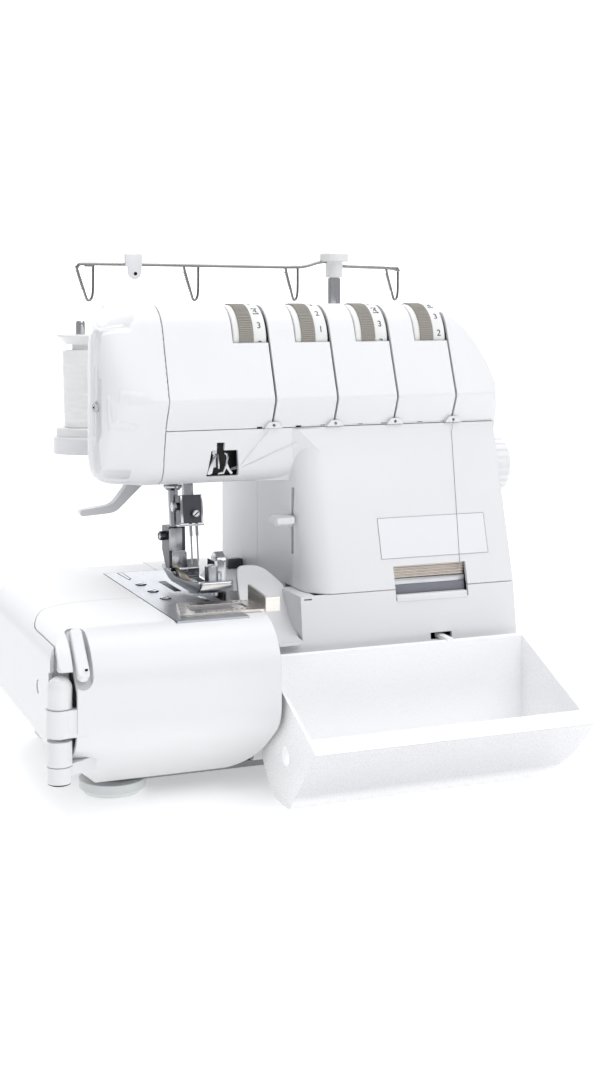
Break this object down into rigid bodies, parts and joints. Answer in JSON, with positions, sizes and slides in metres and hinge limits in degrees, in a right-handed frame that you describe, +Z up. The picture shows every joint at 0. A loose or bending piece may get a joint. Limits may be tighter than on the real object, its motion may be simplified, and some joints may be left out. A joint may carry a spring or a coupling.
{
  "type": "overlock sewing machine",
  "caption": "Household overlock machine with tension dials, leaning column, swing-out cloth plate door, hook-on waste tray and thread stand with telescopic pole.",
  "frame": {"origin": "on the table, under the middle of the whole machine's bounding box", "axes": "+X to the operator's right towards the handwheel, +Y away from the operator to the thread stand, +Z up"},
  "size_m": [0.3522, 0.319, 0.3276],
  "materials": {
    "white_plastic": "smooth white moulding",
    "button_plastic": "smooth white moulding",
    "tray_plastic": "milky white moulding",
    "dial_plastic": "white moulding with a warm grey ribbed ring",
    "stand_plastic": "satin white moulding",
    "thread": "cross-wound thread",
    "soft_foot": "pale soft plastic",
    "belt_rubber": "black toothed belt",
    "black_plastic": "satin black",
    "polished_plate": "polished",
    "ground_steel": "ground and plated",
    "bronze": "sintered bronze",
    "cast_aluminium": "as cast",
    "painted_steel": "grey paint"
  },
  "bodies": {
    "body": {"base_pan": "painted_steel", "rubber_feet": "soft_foot", "side_cover": "white_plastic", "bed_cover": "white_plastic", "rear_cover": "white_plastic", "front_cover": "white_plastic", "face_cover": "white_plastic", "tension_cover": "white_plastic", "hinge_pin": "ground_steel", "needle_plate": "polished_plate", "lower_knife": "ground_steel", "cast_frame": "cast_aluminium", "shaft_bushings": "bronze", "motor": "painted_steel", "timing_belts": "belt_rubber", "motor_belt": "belt_rubber", "tension_spindle": "ground_steel", "thread_guides": "white_plastic", "take_up_pocket": "black_plastic", "looper_guide": "ground_steel", "power_inlet": "black_plastic", "stand_plate": "white_plastic", "spool_pins": "stand_plastic", "thread_spools": "thread", "spool_caps": "stand_plastic", "pole_tube": "ground_steel", "cover_screws": "ground_steel"},
    "door": {"cloth_plate_door": "white_plastic", "inlay_plate": "polished_plate"},
    "button": {"release_button": "button_plastic"},
    "guide_fork": {"seam_guide": "polished_plate"},
    "front_flap": {"looper_cover": "white_plastic"},
    "tray": {"waste_tray": "tray_plastic"},
    "drive": {"main_shaft": "ground_steel", "handwheel": "button_plastic"},
    "top_drive": {"upper_shaft": "ground_steel"},
    "low_drive": {"lower_shaft": "ground_steel"},
    "motor_drive": {"motor_shaft": "ground_steel"},
    "needle_unit": {"needle_bar": "ground_steel", "needle_clamp": "ground_steel", "needles": "ground_steel", "needle_link": "ground_steel"},
    "presser_unit": {"presser_bar": "ground_steel", "foot_holder": "ground_steel", "presser_foot": "polished_plate"},
    "lifter": {"presser_lifter": "white_plastic"},
    "slot_lever": {"column_lever": "white_plastic"},
    "knife_arm": {"upper_knife": "ground_steel"},
    "looper_low": {"lower_looper": "ground_steel"},
    "looper_high": {"upper_looper": "ground_steel"},
    "feed": {"feed_dog": "ground_steel"},
    "take_up": {"take_up_lever": "ground_steel"},
    "length_dial": {"stitch_dial": "button_plastic"},
    "rocker": {"power_switch": "black_plastic"},
    "mast": {"pole_rod": "ground_steel", "guide_bar": "ground_steel"},
    "dial_1": {"tension_dial_1": "dial_plastic"},
    "dial_2": {"tension_dial_2": "dial_plastic"},
    "dial_3": {"tension_dial_3": "dial_plastic"},
    "dial_4": {"tension_dial_4": "dial_plastic"}
  },
  "joints": [
    {"name": "door_swing", "type": "hinge", "parent": "body", "child": "door", "pos_m": [-0.1683, -0.1077, 0.06], "axis": [0, 0, -1], "range_deg": [0, 100]},
    {"name": "button_press", "type": "slide", "parent": "door", "child": "button", "axis": [0, 0.7071, -0.7071], "range_m": [0, 0.003], "stiffness_N_per_m": 400},
    {"name": "fork_shift", "type": "slide", "parent": "door", "child": "guide_fork", "axis": [1, 0, 0], "range_m": [-0.006, 0.006]},
    {"name": "flap_unlatch", "type": "slide", "parent": "body", "child": "front_flap", "axis": [1, 0, 0], "range_m": [0, 0.005]},
    {"name": "tray_pull", "type": "slide", "parent": "front_flap", "child": "tray", "axis": [0, -1, 0], "range_m": [0, 0.07]},
    {"name": "drive_turn", "type": "hinge", "parent": "body", "child": "drive", "pos_m": [0.1271, 0.0215, 0.178], "axis": [1, 0, 0], "continuous": true},
    {"name": "top_turn", "type": "hinge", "parent": "body", "child": "top_drive", "pos_m": [0.0271, 0.0345, 0.236], "axis": [1, 0, 0], "continuous": true},
    {"name": "low_turn", "type": "hinge", "parent": "body", "child": "low_drive", "pos_m": [0.0271, 0.0125, 0.06], "axis": [1, 0, 0], "continuous": true},
    {"name": "motor_turn", "type": "hinge", "parent": "body", "child": "motor_drive", "pos_m": [0.1071, 0.0745, 0.052], "axis": [1, 0, 0], "continuous": true},
    {"name": "needle_stroke", "type": "slide", "parent": "body", "child": "needle_unit", "axis": [0, -0.1392, -0.9903], "range_m": [0, 0.025]},
    {"name": "lifter_swing", "type": "hinge", "parent": "body", "child": "lifter", "pos_m": [-0.0759, 0.0525, 0.184], "axis": [0, 1, 0], "range_deg": [-35, 0]},
    {"name": "presser_lift", "type": "slide", "parent": "body", "child": "presser_unit", "axis": [0, 0.1392, 0.9903], "range_m": [-0.004, 0]},
    {"name": "slot_lever_slide", "type": "slide", "parent": "body", "child": "slot_lever", "axis": [0, 0, 1], "range_m": [-0.017, 0.017]},
    {"name": "knife_swing", "type": "hinge", "parent": "body", "child": "knife_arm", "pos_m": [-0.0484, 0.0345, 0.098], "axis": [1, 0, 0], "range_deg": [0, 5]},
    {"name": "low_looper_swing", "type": "hinge", "parent": "body", "child": "looper_low", "pos_m": [-0.0229, 0.0145, 0.044], "axis": [0, 1, 0], "range_deg": [-8, 8]},
    {"name": "high_looper_swing", "type": "hinge", "parent": "body", "child": "looper_high", "pos_m": [-0.0069, 0.0145, 0.052], "axis": [0, 1, 0], "range_deg": [-8, 8]},
    {"name": "feed_stroke", "type": "slide", "parent": "body", "child": "feed", "axis": [0, 1, 0], "range_m": [-0.0015, 0.0015]},
    {"name": "take_up_swing", "type": "hinge", "parent": "body", "child": "take_up", "pos_m": [-0.0496, -0.0175, 0.1905], "axis": [0, 1, 0], "range_deg": [-6, 6]},
    {"name": "length_turn", "type": "hinge", "parent": "body", "child": "length_dial", "pos_m": [0.1411, 0.0105, 0.072], "axis": [1, 0, 0], "range_deg": [-135, 135]},
    {"name": "rocker_tilt", "type": "hinge", "parent": "body", "child": "rocker", "pos_m": [0.1351, 0.0605, 0.084], "axis": [0, 1, 0], "range_deg": [-8, 8]},
    {"name": "mast_raise", "type": "slide", "parent": "body", "child": "mast", "axis": [0, 0, 1], "range_m": [0, 0.11]},
    {"name": "dial_1_turn", "type": "hinge", "parent": "body", "child": "dial_1", "pos_m": [-0.0389, -0.00364, 0.267], "axis": [1, 0, 0], "range_deg": [-150, 150]},
    {"name": "dial_2_turn", "type": "hinge", "parent": "body", "child": "dial_2", "pos_m": [0.0031, -0.00364, 0.267], "axis": [1, 0, 0], "range_deg": [-150, 150]},
    {"name": "dial_3_turn", "type": "hinge", "parent": "body", "child": "dial_3", "pos_m": [0.0451, -0.00364, 0.267], "axis": [1, 0, 0], "range_deg": [-150, 150]},
    {"name": "dial_4_turn", "type": "hinge", "parent": "body", "child": "dial_4", "pos_m": [0.0871, -0.00364, 0.267], "axis": [1, 0, 0], "range_deg": [-150, 150]}
  ],
  "couplings": [
    {"joint": "top_turn", "follows": "drive_turn", "ratio": 1},
    {"joint": "low_turn", "follows": "drive_turn", "ratio": 1},
    {"joint": "motor_turn", "follows": "drive_turn", "ratio": 3.75},
    {"joint": "lifter_swing", "follows": "presser_lift", "rad_per_m": 152.71}
  ]
}
